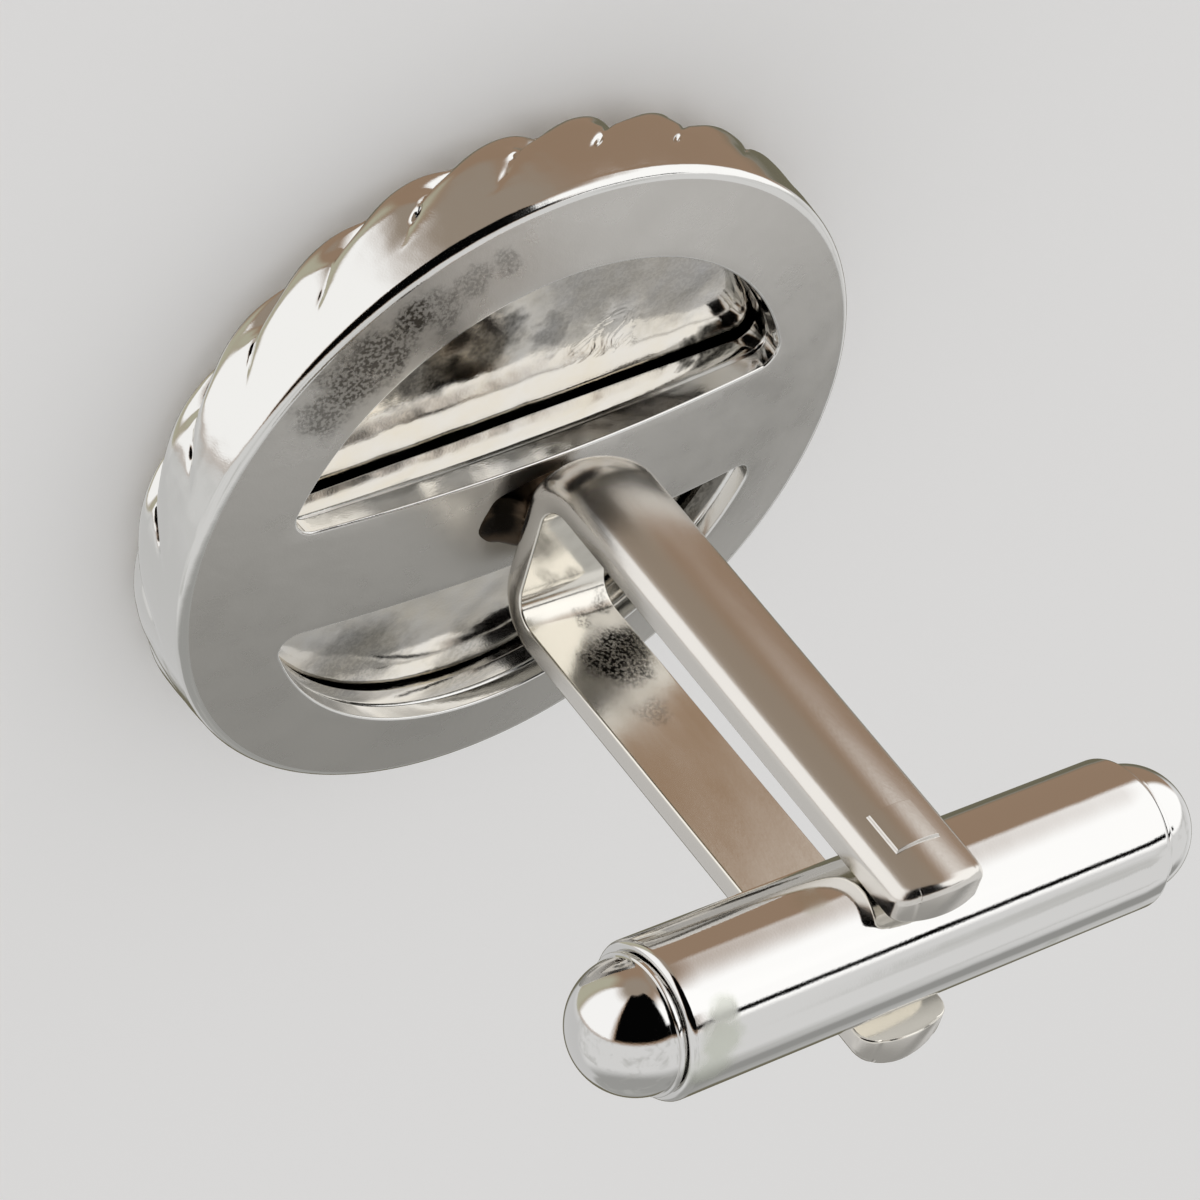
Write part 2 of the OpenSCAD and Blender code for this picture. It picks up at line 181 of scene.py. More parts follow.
def sizes(scene):
    """The head's, rope's, strap's and toggle's sizes in millimetres, with what follows from them."""
    h, rope, s, t = [in_mm(getattr(scene, "cuff_" + key)) for key in ("head", "rope", "strap", "toggle")]
    h.top = h.head_t + h.dome_rise
    h.dome_r = (h.back_r ** 2 + h.dome_rise ** 2) / (2 * h.dome_rise)
    h.land_r = h.recess_r + h.land_w
    h.chamber_r = h.recess_r - h.seat_w
    h.web_z = h.head_t - h.web_edge_t
    rope.wide_r = h.back_r + rope.out
    t.pivot_z = h.head_t + t.pivot_rise
    s.half = s.width / 2
    s.crown_r = (s.half ** 2 + s.crown ** 2) / (2 * s.crown)
    s.foot = h.top + s.film + s.side_t + s.crown + s.bend_r
    s.front_leg = t.pivot_z + s.front_tip - s.foot
    s.back_leg = t.pivot_z + s.back_tip - s.foot
    s.bend_len = math.pi / 2 * s.bend_r
    s.run = s.gap - 2 * s.bend_r
    s.total = s.front_leg + s.back_leg + 2 * s.bend_len + s.run
    s.arc_drop = s.tip_r - math.sqrt((s.tip_r - s.tip_corner) ** 2 - (s.half - s.tip_corner) ** 2)
    s.pad_sides = (s.pad_off - s.pad_w / 2, s.pad_off + s.pad_w / 2)
    return h, rope, s, t


def linear(colour):
    """An sRGB hex value as linear RGBA."""
    parts = [int(colour[i:i + 2], 16) / 255 for i in (1, 3, 5)]
    return [c / 12.92 if c <= 0.04045 else ((c + 0.055) / 1.055) ** 2.4 for c in parts] + [1.0]


class Value:
    """An output of a node, on which a formula can be written: each step adds a Math node."""

    def __init__(self, tree, socket):
        self.tree = tree
        self.socket = socket

    def maths(self, operation, *others):
        return add_node(self.tree, "ShaderNodeMath", dict(enumerate((self, *others))), operation=operation)

    __add__ = partialmethod(maths, "ADD")
    __sub__ = partialmethod(maths, "SUBTRACT")
    __mul__ = partialmethod(maths, "MULTIPLY")
    __truediv__ = partialmethod(maths, "DIVIDE")
    __pow__ = partialmethod(maths, "POWER")
    __abs__ = partialmethod(maths, "ABSOLUTE")


def add_node(tree, kind, inputs=None, take=0, **settings):
    """Adds a node, sets its settings, sets or links its inputs, and returns one output, or all by name."""
    node = tree.nodes.new(kind)
    for key, value in settings.items():
        setattr(node, key, value)
    for key, value in (inputs or {}).items():
        if isinstance(value, Value):
            tree.links.new(value.socket, node.inputs[key])
        else:
            node.inputs[key].default_value = value
    if take is None:
        return {socket.name: Value(tree, socket) for socket in node.outputs}
    return Value(tree, node.outputs[take])


# Meshes

class Shell:
    """The points, in millimetres, and faces of one closed mesh."""

    def __init__(self):
        self.points = []
        self.faces = []
        self.finish = []

    def row(self, points):
        """Adds points and returns their numbers."""
        start = len(self.points)
        self.points.extend(tuple(p) for p in points)
        return list(range(start, len(self.points)))

    def face(self, *corners, finish=0):
        self.faces.append(corners)
        self.finish.append(finish)

    def strip(self, rows, closed=True, finish=0):
        """Joins rows of the same length by quads."""
        for a, b in zip(rows, rows[1:]):
            n = len(a)
            for i in range(n if closed else n - 1):
                j = (i + 1) % n
                self.face(a[i], a[j], b[j], b[i], finish=finish)

    def mesh(self, name, attributes=None):
        """The welded mesh, its faces outward, in metres."""
        mesh = bpy.data.meshes.new(name)
        mesh.from_pydata([[c * MM for c in p] for p in self.points], [], self.faces)
        mesh.polygons.foreach_set("material_index", self.finish)
        for key, values in (attributes or {}).items():
            mesh.attributes.new(key, "FLOAT", "POINT").data.foreach_set("value", values)
        work = bmesh.new()
        work.from_mesh(mesh)
        bmesh.ops.remove_doubles(work, verts=work.verts, dist=0.002 * MM)
        bmesh.ops.dissolve_degenerate(work, edges=work.edges, dist=0.0005 * MM)
        bmesh.ops.recalc_face_normals(work, faces=work.faces)
        if work.calc_volume(signed=True) < 0:
            bmesh.ops.reverse_faces(work, faces=work.faces)
        work.to_mesh(mesh)
        work.free()
        return mesh


def put_in_scene(data, name):
    """A new object that shows a mesh or holds a camera."""
    piece = bpy.data.objects.new(name, data)
    bpy.context.scene.collection.objects.link(piece)
    return piece


def face_finishes(mesh):
    """The number of each face's material."""
    finish = [0] * len(mesh.polygons)
    mesh.polygons.foreach_get("material_index", finish)
    return finish


def dress(piece, node, body, materials, crease=30, finish=None):
    """Shades a piece, gives its faces their finish, and puts it in a node's place on its body."""
    mesh = piece.data
    finish = finish or face_finishes(mesh)
    mesh.materials.clear()
    for material in materials:
        mesh.materials.append(material)
    mesh.polygons.foreach_set("material_index", finish)
    mesh.shade_smooth()
    mesh.set_sharp_from_angle(angle=math.radians(crease))
    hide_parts(node)
    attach(piece, body)


def span(a, b, n):
    """n even steps from a to b, as n + 1 numbers."""
    return [a + (b - a) * i / n for i in range(n + 1)]


def quarter(n):
    """Cosine and sine at n even steps of a quarter turn."""
    return [(math.cos(a), math.sin(a)) for a in span(0, math.pi / 2, n)]


def thinned(values):
    """Values in order, without those less than 0.004 mm past the one before."""
    values = sorted(values)
    return [v for i, v in enumerate(values) if i == 0 or v - values[i - 1] > 0.004]


def ease(t):
    """0 to 1 with soft ends."""
    t = min(max(t, 0.0), 1.0)
    return t * t * (3 - 2 * t)


def ring(r, z, n, shift=0.0):
    """Points of a level circle, turned by a shift in radians."""
    angles = [2 * math.pi * i / n + shift for i in range(n)]
    return [(r * math.cos(a), r * math.sin(a), z) for a in angles]


def arc(cx, cy, r, a0, a1, n):
    """Points of an arc in a profile, angles in degrees."""
    angles = [math.radians(a) for a in span(a0, a1, n)]
    return [(cx + r * math.cos(a), cy + r * math.sin(a)) for a in angles]


def turned_along_x(profile, side, z, n=144):
    """A shell turned from a profile of (radius, along) about the toggle's axis."""
    shell = Shell()
    least_r = 1e-5
    shell.strip([shell.row((side * x, c[0], z + c[1]) for c in ring(max(r, least_r), 0, n))
                 for r, x in profile])
    return shell


def inside(p, loop, margin):
    """Whether p is in a loop, or within a margin of it."""
    odd = False
    for a, b in zip(loop, loop[1:] + loop[:1]):
        if (a[1] > p.y) != (b[1] > p.y):
            if p.x < a[0] + (p.y - a[1]) / (b[1] - a[1]) * (b[0] - a[0]):
                odd = not odd
        if abs(a[0] - p.x) < margin and abs(a[1] - p.y) < margin:
            return True
    return odd


def fill_plan(outline, holes, spacing, reach):
    """Points, triangles and origins of a flat region with holes, with a grid of points inside."""
    points, edges, faces = [], [], []
    for loop in [outline] + holes:
        start, n = len(points), len(loop)
        points += [Vector(p) for p in loop]
        edges += [(start + i, start + (i + 1) % n) for i in range(n)]
        # A hole runs the other way round from the outline
        way = -1 if start else 1
        faces.append(list(range(start, start + n))[::way])
    steps = int(reach / spacing) + 1
    for i in range(-steps, steps + 1):
        for j in range(-steps, steps + 1):
            p = Vector(((i + 0.5 * (j % 2)) * spacing, j * spacing))
            if p.length < reach - spacing and not any(inside(p, hole, spacing * 0.6) for hole in holes):
                points.append(p)
    out = delaunay_2d_cdt(points, edges, faces, 2, 1e-7)
    return out[0], out[2], out[3]


# Geometry Nodes

def open_tree(name, kinds):
    """A new tree and what it is given by name: Geometry, then inputs of the given kinds, then Metal."""
    tree = bpy.data.node_groups.new(name, "GeometryNodeTree")
    for key, kind in {"Geometry": "Geometry", **kinds, "Metal": "Material"}.items():
        tree.interface.new_socket(key, in_out="INPUT", socket_type="NodeSocket" + kind)
    tree.interface.new_socket("Geometry", in_out="OUTPUT", socket_type="NodeSocketGeometry")
    return tree, add_node(tree, "NodeGroupInput", take=None)


def close_tree(tree, shape, material):
    """Ends a tree with real faces in their metal."""
    real = add_node(tree, "GeometryNodeRealizeInstances", {0: shape})
    painted = add_node(tree, "GeometryNodeSetMaterial", {"Geometry": real, "Material": material})
    add_node(tree, "NodeGroupOutput", {0: painted}, None)
    return tree


def baked(piece, tree, inputs):
    """Runs a Geometry Nodes tree on a piece and keeps the result as a plain mesh."""
    modifier = piece.modifiers.new(tree.name, "NODES")
    modifier.node_group = tree
    for item in tree.interface.items_tree:
        if item.in_out == "INPUT" and item.name in inputs:
            modifier[item.identifier] = inputs[item.name]
    bpy.context.view_layer.update()
    graph = bpy.context.evaluated_depsgraph_get()
    mesh = bpy.data.meshes.new_from_object(piece.evaluated_get(graph), depsgraph=graph)
    piece.modifiers.remove(modifier)
    old, piece.data = piece.data, mesh
    bpy.data.meshes.remove(old)


def rope_tree():
    """Cuts the slanting grooves and casting pits of the rope into a smooth rim.

    The rim carries three attributes: groove, the depth's share; along, the way round the section from
    the widest line in millimetres; and crease, the power that narrows a groove.
    """
    numbers = ("Strands", "Groove", "Lead", "Phase", "Floor", "Pitch", "Wander", "Unevenness",
               "Pit depth", "Pit width", "Pit length", "Seed")
    tree, given = open_tree("rope_grooves", dict.fromkeys(numbers, "Float"))
    add = partial(add_node, tree)
    place = add("GeometryNodeInputPosition")
    axes = add("ShaderNodeSeparateXYZ", {0: place}, None)
    x, y = axes["X"], axes["Y"]
    share, along, crease = [add("GeometryNodeInputNamedAttribute", {"Name": name})
                            for name in ("groove", "along", "crease")]
    # 0 where the rim is smooth, so that nothing below moves it there
    touched = (share * 30.0).maths("MINIMUM", 1.0)
    # t counts the strands round the rim, with a groove at each whole number
    t = y.maths("ARCTAN2", x) / (2 * math.pi) * given["Strands"] + given["Phase"] - along * given["Lead"]
    cut = abs(t.maths("FRACT") * 2.0 - 1.0) ** crease * share * given["Groove"]
    nearest = t.maths("ROUND")
    across = (t - nearest) * given["Pitch"] / given["Pit width"]
    # Two pits in each groove, one about the widest line and one on the wall, of random place and depth
    for offset, low_end, reach in ((0.0, -0.3, 0.4), (7.0, 0.3, 0.3)):
        place_chance, depth_chance = [
            add("ShaderNodeTexWhiteNoise", {"W": nearest + given["Seed"] + shift}, "Value",
                noise_dimensions="1D") for shift in (offset, offset + 0.5)]
        away = (along - (place_chance * reach + low_end)) / given["Pit length"]
        pit = ((across * across + away * away) * -1.0).maths("EXPONENT")
        cut = cut + pit * given["Pit depth"] * (depth_chance * 0.8 + 0.2) * touched
    # Swells about 1.4 mm apart
    swell = add("ShaderNodeTexNoise", {"Vector": place, "Scale": 0.7 / MM, "Detail": 2.0})
    cut = cut - (swell - 0.5) * given["Unevenness"] * touched
    radius = (x * x + y * y).maths("SQRT")
    kept = (radius - cut).maths("MAXIMUM", given["Floor"])
    factor = (kept / radius.maths("MAXIMUM", 1e-6) - 1.0) * touched + 1.0
    new = add("ShaderNodeCombineXYZ", {0: x * factor, 1: y * factor, 2: axes["Z"]})
    # The grooves wander sideways, in waves about 3 mm long
    drift = add("ShaderNodeTexNoise", {"Vector": place, "Scale": 0.33 / MM, "Detail": 0.0})
    new = add("ShaderNodeVectorRotate", {"Vector": new, "Angle": (drift - 0.5) * (share * given["Wander"])},
              rotation_type="Z_AXIS")
    moved = add("GeometryNodeSetPosition", {"Geometry": given["Geometry"], "Position": new})
    return close_tree(tree, moved, given["Metal"])


def spring_tree():
    """Winds a round wire into a spring."""
    numbers = ("Curls", "Coil radius", "Run", "Wire radius", "Turn")
    tree, given = open_tree("click_spring", {**dict.fromkeys(numbers, "Float"), "Place": "Vector"})
    add = partial(add_node, tree)
    path = add("GeometryNodeCurveSpiral", {
        "Resolution": 32, "Rotations": given["Curls"], "Start Radius": given["Coil radius"],
        "End Radius": given["Coil radius"], "Height": given["Run"]})
    wire = add("GeometryNodeCurvePrimitiveCircle", {"Resolution": 14, "Radius": given["Wire radius"]})
    tube = add("GeometryNodeCurveToMesh", {"Curve": path, "Profile Curve": wire, "Fill Caps": True})
    turn = add("ShaderNodeCombineXYZ", {1: given["Turn"]})
    laid = add("GeometryNodeTransform", {"Geometry": tube, "Rotation": turn, "Translation": given["Place"]})
    return close_tree(tree, laid, given["Metal"])


# Head

def dome(h, x, y):
    """Height of the head's domed back at a place."""
    return h.top - h.dome_r + math.sqrt(h.dome_r ** 2 - x * x - y * y)


def window_outline(h, side, grow):
    """A window in plan, its sides moved outwards by grow; side is 1 or -1."""
    low = h.bar_w / 2
    cy = low + h.corner_r
    cx = math.sqrt((h.window_r - h.corner_r) ** 2 - cy * cy)
    a = math.degrees(math.atan2(cy, cx))
    r = h.corner_r + grow
    points = [(x, low - grow) for x in span(-cx, cx, 60)]
    points += arc(cx, cy, r, -90, a, 12)[1:]
    points += arc(0, 0, h.window_r + grow, a, 180 - a, 100)[1:]
    points += arc(-cx, cy, r, 180 - a, 270, 12)[1:-1]
    c, s = math.cos(h.bar_turn) * side, math.sin(h.bar_turn) * side
    return [(c * x - s * y, s * x + c * y) for x, y in points]


def rim_profile(h, rope):
    """The rim's section from the chamber to the web, and how many of its rows come before the back face.

    Each row is radius, height, groove share, way along the section, and crease.
    """
    front_rows, wall_rows, edge_rows = 20, 26, 12
    land_depth, swell, fade, wall_depth, wall_end = 0.7, 0.5, 0.62, 0.25, 0.7
    land_crease, wall_crease, edge_crease = 2.1, 2.8, 4.8
    edge_turn = math.radians(84)
    seat_z = h.web_z - h.web_gap
    round_z = h.head_t - h.edge_round
    front_r, front_z = h.land_r - h.land_w / 8, rope.groove / 10
    front_len = math.pi / 2 * (rope.wide_r - front_r + rope.mid - front_z) / 2
    back_len = round_z - rope.mid
    # The chamber behind the plate, the recess, and the front land with its worn edges
    plain = (0, -front_len, 2)
    profile = [(r, z, *plain) for r, z in (
        (h.chamber_r, h.web_z), (h.chamber_r, seat_z), (h.recess_r, seat_z), (h.recess_r, 0.05),
        (h.recess_r + 0.02, 0.01), (h.recess_r + 0.06, 0), (h.land_r - 0.08, 0),
        (h.land_r - 0.03, 0.012), (h.land_r, 0.05))]
    # On the front quarter the grooves are deepest half-way, then fade and narrow to the widest line
    for k in range(1, front_rows + 1):
        a = math.pi / 2 * k / front_rows
        faded, narrowed = ease((math.degrees(a) - 66) / 24), ease((math.degrees(a) - 60) / 30)
        profile.append((front_r + (rope.wide_r - front_r) * math.sin(a),
                        rope.mid - (rope.mid - front_z) * math.cos(a),
                        (land_depth + swell * math.sin(2 * a)) * (1 - fade * faded),
                        front_len * (k / front_rows - 1),
                        land_crease + (wall_crease - land_crease) * narrowed))
    # On the wall they are narrow creases that die out before the back edge
    for s in span(0, 1, wall_rows)[1:]:
        profile.append((rope.wide_r - rope.lean * s * s, rope.mid + back_len * s,
                        wall_depth * max(1 - s / wall_end, 0.0) ** 1.3, back_len * s,
                        wall_crease + (edge_crease - wall_crease) * s))
    plain = (0, back_len, 2)
    reach = rope.out - rope.lean
    profile += [(h.back_r + reach * math.cos(b), round_z + h.edge_round * math.sin(b), *plain)
                for b in span(0, edge_turn, edge_rows)[1:]]
    outer_end = len(profile)
    profile += [(r, dome(h, r, 0), *plain) for r in (9.93, 9.8, 9.5, 9.2, 8.9, 8.6, 8.35, h.chamber_r)]
    return profile, outer_end


def add_web_face(shell, h, base, height, finish):
    """One face of the web inside a ring of points, with room for the windows' worn edges."""
    spacing = 0.3
    outline = [shell.points[i][:2] for i in base]
    wide = [window_outline(h, side, h.lip) for side in (1, -1)]
    points, faces, origins = fill_plan(outline, wide, spacing, h.chamber_r)
    numbers = {}
    for i, p in enumerate(points):
        given = [o for o in origins[i] if o < len(base)]
        numbers[i] = base[given[0]] if given else shell.row([(p.x, p.y, height(p.x, p.y))])[0]
    for f in faces:
        shell.face(*[numbers[i] for i in f], finish=finish)


def add_window_wall(shell, h, side):
    """A window's wall, from its worn edge in the back over a small step to its edge in the chamber."""
    walls = []
    for c, s in quarter(6):
        outline = window_outline(h, side, h.lip * (1 - s))
        walls.append([(x, y, dome(h, x, y) - h.lip * (1 - c)) for x, y in outline])
    # Shares of the wall's depth, and how much of the step is reached there
    for drop, share in ((0.42, 0), (0.45, 0.3), (0.5, 0.9), (0.53, 1)):
        outline = window_outline(h, side, -h.step * share)
        walls.append([(x, y, dome(h, x, y) + (h.web_z - dome(h, x, y)) * drop) for x, y in outline])
    for c, s in quarter(3):
        outline = window_outline(h, side, -h.step + (h.lip + h.step) * (1 - c))
        walls.append([(x, y, h.web_z + h.lip * (1 - s)) for x, y in outline])
    shell.strip([shell.row(w) for w in walls])


def head_mesh(h, rope):
    """The cast head with its two windows; its rim is smooth and marked for the rope's grooves."""
    strand_cols = 44
    cols = rope.strands * strand_cols
    lead = math.tan(rope.slant) / rope.wide_r
    profile, outer_end = rim_profile(h, rope)
    shell = Shell()
    rows = [shell.row(ring(r, z, cols, along * lead)) for r, z, _, along, _ in profile]
    shell.strip(rows[:outer_end])
    shell.strip(rows[outer_end - 1:], finish=1)
    add_web_face(shell, h, rows[-1], partial(dome, h), finish=1)
    add_web_face(shell, h, rows[0], lambda x, y: h.web_z, finish=0)
    for side in (1, -1):
        add_window_wall(shell, h, side)
    marks = {key: [unmarked] * len(shell.points)
             for key, unmarked in (("groove", 0.0), ("along", 0.0), ("crease", 2.0))}
    for numbers, row in zip(rows, profile):
        for i in numbers:
            for key, value in zip(marks, row[2:]):
                marks[key][i] = value
    return shell.mesh("head", marks)


# Strap

def strap_frame(s, p):
    """(y, z) on the inner face at a place along the strap, and the outward way there."""
    middle = s.front_leg + s.bend_len + s.run / 2
    side = 1 if p <= middle else -1
    q = abs(middle - p) - s.run / 2
    if q <= 0:
        return (middle - p, s.foot - s.bend_r), (0, -1)
    if q <= s.bend_len:
        a = -math.pi / 2 * (1 - q / s.bend_len)
        c = math.cos(a)
        return (side * (s.gap / 2 - s.bend_r + s.bend_r * c), s.foot + s.bend_r * math.sin(a)), \
            (side * c, math.sin(a))
    return (side * s.gap / 2, s.foot + q - s.bend_len), (side, 0)


def edge_drop(d, e):
    """How far a rounded edge lies below its face at a distance d from the side."""
    return 0.0 if d >= e else e - math.sqrt(max(e * e - (e - d) ** 2, 0.0))


def strap_places(s, pads):
    """Places across the strap, shares of its tips' arcs, and places along it, closer at every round."""
    half = s.half
    low, high = s.pad_sides
    wall = [s.pad_wall * k / 6 for k in range(-1, 8)]
    rounds = [1 - c for c, _ in quarter(6)]
    xs = {half - e * share for share in rounds for e in (s.edge, s.inner_edge)}
    xs |= {half - s.tip_corner * (1 - sine) for _, sine in quarter(8)}
    xs |= {-x for x in xs} | set(span(-half + s.edge, half - s.edge, 28))
    xs |= {low + w for w in wall} | {high - w for w in wall}
    tip = [s.edge * share / s.arc_drop for share in rounds]
    tip = sorted(set(tip + span(tip[-1], 1, 6)))[:-1]
    stops = (s.arc_drop, s.front_leg, s.front_leg + s.bend_len, s.front_leg + s.bend_len + s.run,
             s.total - s.back_leg, s.total - s.arc_drop)
    ps = {p for a, b, n in zip(stops, stops[1:], (60, 18, 10, 18, 60)) for p in span(a, b, n)}
    for start, way in pads:
        ps |= {start + way * w for w in wall} | {start + way * (s.pad_len - w) for w in wall}
    return thinned(xs), tip, thinned(ps)


def strap_mesh(s):
    """The bent strap: domed outside, arced tips, rounded edges, and a stamped pad on each leg."""
    half, corner, total, arc_drop = s.half, s.tip_corner, s.total, s.arc_drop
    flat = half - corner
    thick = s.side_t + s.crown
    low, high = s.pad_sides
    pads = ((s.front_tip - s.pad_reach, 1), (total - s.back_tip + s.pad_reach, -1))
    xs, tip, ps = strap_places(s, pads)

    def sag(x):
        """Drop of the tip's outline from its highest point: a flat arc with rounded corners."""
        if abs(x) <= flat * s.tip_r / (s.tip_r - corner):
            return s.tip_r - math.sqrt(s.tip_r ** 2 - x * x)
        return arc_drop - math.sqrt(max(corner ** 2 - (abs(x) - flat) ** 2, 0.0))

    def room(x, down):
        """Distance from a place near a tip to the tip's outline."""
        if abs(x) > flat and down < arc_drop:
            return corner - math.hypot(abs(x) - flat, arc_drop - down)
        return s.tip_r - math.hypot(x, s.tip_r - down) if down < s.tip_r else half

    ends = [[sag(x) + (arc_drop - sag(x)) * t for x in xs] for t in tip]
    lines = ends + [[p] * len(xs) for p in ps] + [[total - p for p in line] for line in ends[::-1]]
    shell = Shell()
    faces = ([], [])
    for line in lines:
        outer, inner = [], []
        for x, p in zip(xs, line):
            near = min(half - abs(x), *(max(room(x, down), 0.0) for down in (p, total - p)))
            height = thick - s.crown_r + math.sqrt(s.crown_r ** 2 - x * x)
            for start, way in pads:
                down = (p - start) * way
                rim = min(x - low, high - x, down, s.pad_len - down)
                height += s.pad_rise * ease(rim / s.pad_wall)
            base, out = strap_frame(s, p)
            aside = s.lean * max(1 - p / s.front_leg, 0.0)
            for rows, off in ((outer, height - edge_drop(near, s.edge)),
                              (inner, edge_drop(near, s.inner_edge))):
                rows.append((x - aside, base[0] + out[0] * off, base[1] + out[1] * off))
        faces[0].append(shell.row(outer))
        faces[1].append(shell.row(inner))
    shell.strip(faces[0], closed=False)
    shell.strip(faces[1], closed=False, finish=1)
    shell.strip([rows[0] + [r[-1] for r in rows[1:]] + rows[-1][-2::-1] + [r[0] for r in rows[-2:0:-1]]
                 for rows in faces])
    return shell


def add_box(shell, low, high, chamfer):
    """A closed block with chamfered edges."""
    work = bmesh.new()
    bmesh.ops.create_cube(work, size=1)
    for v in work.verts:
        v.co = Vector([a + (b - a) * (c + 0.5) for a, b, c in zip(low, high, v.co)])
    bmesh.ops.bevel(work, geom=work.edges[:], offset=chamfer, segments=3, affect="EDGES", profile=0.5)
    work.verts.index_update()
    numbers = shell.row([v.co[:] for v in work.verts])
    for f in work.faces:
        shell.face(*[numbers[v.index] for v in f.verts])
    work.free()


def puddle_mesh(h, s):
    """The solder: a wiped puddle round the strap's foot that climbs its sides, wider on one side."""
    past_edge, across_bar, off_middle = 0.25, 1.05, 0.3
    tail, tail_way = 0.45, math.radians(200)
    squareness, waviness, waves, chosen = 0.7, 0.12, 1.7, 3.1
    under_edge, fillet, film, least, sunk = 0.35, 0.22, 0.01, 0.03, 0.02
    cols, rows = 64, 16
    shell = Shell()
    upper, under = [], []
    for share in span(0, 1, rows):
        up, down = [], []
        for x, y, _ in ring(1, 0, cols):
            wobble = 1 + waviness * noise.noise(Vector((waves * x, waves * y, chosen)))
            run = tail * max(x * math.cos(tail_way) + y * math.sin(tail_way), 0) ** 2
            x = (s.half + past_edge + run) * wobble * share * math.copysign(abs(x) ** squareness, x)
            y = across_bar * wobble * share * math.copysign(abs(y) ** squareness, y) + off_middle
            ground = dome(h, x, y)
            strap_z = h.top + s.film + s.crown_r
            strap_z -= math.sqrt(max(s.crown_r ** 2 - min(abs(x), s.half) ** 2, 0))
            past = max(abs(x) - s.half + under_edge, 0.0)
            climb = (strap_z - ground) * math.exp(-(past / fillet) ** 1.2)
            edge = max(1 - share ** 6, 0.0) ** 0.5
            up.append((x, y, ground + max(climb + film, least) * edge))
            down.append((x, y, ground - sunk))
        upper.append(shell.row(up))
        under.append(shell.row(down))
    shell.strip(upper)
    shell.strip(under)
    shell.strip([upper[-1], under[-1]])
    return shell.mesh("solder")


# Toggle

# Half side, in millimetres, of the square patch of tube wall that each pivot hole is cut in
PATCH = 1.3


def tube_wall(shell, t, r, xs, turn):
    """One cylinder of the tube, with its two pivot holes; returns its end and hole rings."""
    cols = len(turn)
    n = cols // 4

    def at(x, angle):
        return (x, r * math.cos(angle), t.pivot_z + r * math.sin(angle))

    rows = [shell.row(at(x, a) for a in turn) for x in xs]
    band = span(-PATCH, PATCH, n)
    grid = {(i, j): shell.row([at(x, a)])[0] for i, x in enumerate(band) for j, a in enumerate(turn)
            if not (0 < i < n and 0 < j % (2 * n) < n)}
    for i in range(n):
        for j in range(cols):
            if j % (2 * n) >= n:
                k = (j + 1) % cols
                shell.face(grid[i, j], grid[i, k], grid[i + 1, k], grid[i + 1, j])
    left = rows[:len(xs) // 2] + [[grid[0, j] for j in range(cols)]]
    right = [[grid[n, j] for j in range(cols)]] + rows[len(xs) // 2:]
    shell.strip(left)
    shell.strip(right)
    holes = []
    for first, centre in ((0, 0.0), (2 * n, math.pi)):
        loop = [(i, first) for i in range(n)] + [(n, first + j) for j in range(n)]
        loop += [(n - i, first + n) for i in range(n)] + [(0, first + n - j) for j in range(n)]
        rings = [[grid[place] for place in loop]]
        for share in span(0, 1, 6)[1:]:
            points = []
            for i, j in loop:
                x, a = band[i], turn[j] - centre
                way = math.atan2(a / (math.pi / 4), x / PATCH)
                hole_x = t.hole_r * math.cos(way)
                hole_a = math.asin(t.hole_r * math.sin(way) / r)
                points.append(at(x + (hole_x - x) * share, centre + a + (hole_a - a) * share))
            rings.append(shell.row(points))
        shell.strip(rings)
        holes.append(rings[-1])
    return left[0], right[-1], holes


def tube_mesh(t):
    """The tube, its rounded ends, and its two pivot holes through the wall."""
    shell = Shell()
    edge = t.half - t.chamfer
    inset = 0.04
    cols = 96
    turn = [2 * math.pi * (j - cols / 8) / cols for j in range(cols)]
    steps = span(-edge, -PATCH, 10)[:-1]
    inner = [-t.half + inset, -t.half / 2]
    left, right, outer_holes = tube_wall(shell, t, t.tube_r, steps + [-x for x in steps[::-1]], turn)
    in_left, in_right, inner_holes = tube_wall(shell, t, t.bore_r, inner + [-x for x in inner[::-1]], turn)
    profile = arc(t.tube_r - t.chamfer, edge, t.chamfer, 0, 90, 6)[1:] + [(t.bore_r + inset, t.half)]
    for side, start, end in ((-1, left, in_left), (1, right, in_right)):
        shell.strip([start] + [shell.row((side * x, r * math.cos(a), t.pivot_z + r * math.sin(a))
                                         for a in turn) for r, x in profile] + [end])
    for outer, inner in zip(outer_holes, inner_holes):
        shell.strip([outer, inner])
    return shell.mesh("toggle_tube")


def cap_mesh(t, side):
    """A domed end cap with its collar, groove and hidden plug."""
    plug_x = t.half - t.plug_len
    slip, lip = 0.005, 0.01
    plug_r = t.bore_r - slip
    cap_x = t.half + t.groove_w + t.collar_w
    groove_r = t.cap_r - t.groove_depth
    collar_r = t.cap_r + t.collar_h
    soft = 0.03
    profile = [(0, plug_x), (t.bore_r - t.chamfer, plug_x), (plug_r, plug_x + t.chamfer),
               (plug_r, t.half - lip), (groove_r, t.half), (groove_r, t.half + t.groove_w)]
    profile += arc(collar_r - soft, t.half + t.groove_w + soft, soft, -90, 0, 3)
    profile += arc(collar_r - soft, cap_x - soft / 2, soft, 0, 60, 3)
    profile += [(t.cap_r + soft / 2, cap_x + 0.012)] + arc(0, cap_x, t.cap_r, 2, 90, 32)
    return turned_along_x(profile, side, t.pivot_z).mesh("cap")


